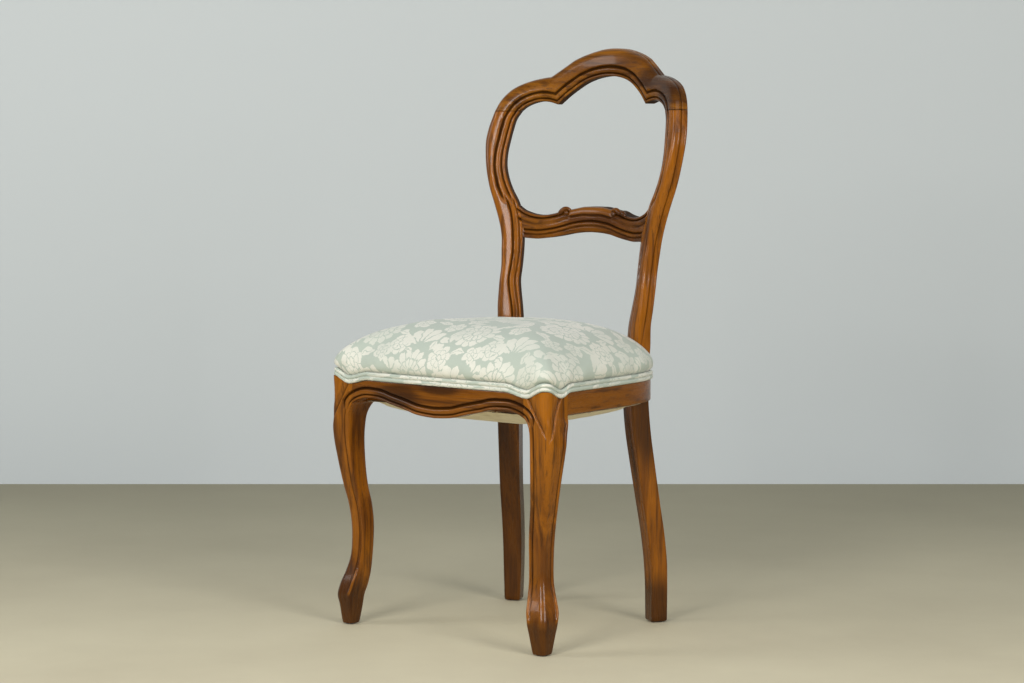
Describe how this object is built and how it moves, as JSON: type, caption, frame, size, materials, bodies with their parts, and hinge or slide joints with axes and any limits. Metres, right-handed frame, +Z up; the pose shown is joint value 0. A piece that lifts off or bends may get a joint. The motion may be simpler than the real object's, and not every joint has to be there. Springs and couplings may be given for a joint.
{
  "type": "balloon back dining chair",
  "caption": "Dining chair with a carved, rounded open back, curved cabriole front legs, kicked back rear legs and a crowned upholstered seat edged with double welt.",
  "frame": {"origin": "on the floor, below the middle of the chair", "axes": "+Z up, -Y the way the sitter faces, +X to the right of someone who looks at the chair from the front"},
  "size_m": [0.4766, 0.4716, 0.9535],
  "materials": {
    "frame_walnut": "polished walnut, satin to gloss",
    "inner_beech": "plain beech, unfinished",
    "seat_damask": "sage ground with a cream floral damask, slight sheen",
    "cream_calico": "plain cream cotton, matt",
    "jute": "woven jute, matt",
    "spring_steel": "drawn steel wire, satin",
    "dark_steel": "blued steel tacks, screws and glides"
  },
  "bodies": {
    "root": {"crest_rail": "frame_walnut", "back_post_left": "frame_walnut", "back_post_right": "frame_walnut", "mid_rail": "frame_walnut", "front_leg_left": "frame_walnut", "front_leg_right": "frame_walnut", "front_rail": "frame_walnut", "side_rail_left": "frame_walnut", "side_rail_right": "frame_walnut", "rear_rail": "frame_walnut", "front_block_left": "inner_beech", "front_block_right": "inner_beech", "rear_block_left": "inner_beech", "rear_block_right": "inner_beech", "block_screws": "dark_steel", "crest_dowels": "inner_beech", "mid_rail_dowels": "inner_beech", "front_rail_dowels": "inner_beech", "side_rail_front_dowels": "inner_beech", "side_rail_rear_dowels": "inner_beech", "rear_rail_dowels": "inner_beech", "foot_glides": "dark_steel", "long_webbing": "jute", "cross_webbing": "jute", "webbing_tacks": "dark_steel", "seat_springs": "spring_steel", "spring_canvas": "jute", "seat_pad": "cream_calico", "seat_cover": "seat_damask", "double_welt": "seat_damask", "bottom_cloth": "cream_calico", "cloth_tacks": "dark_steel"}
  },
  "joints": []
}
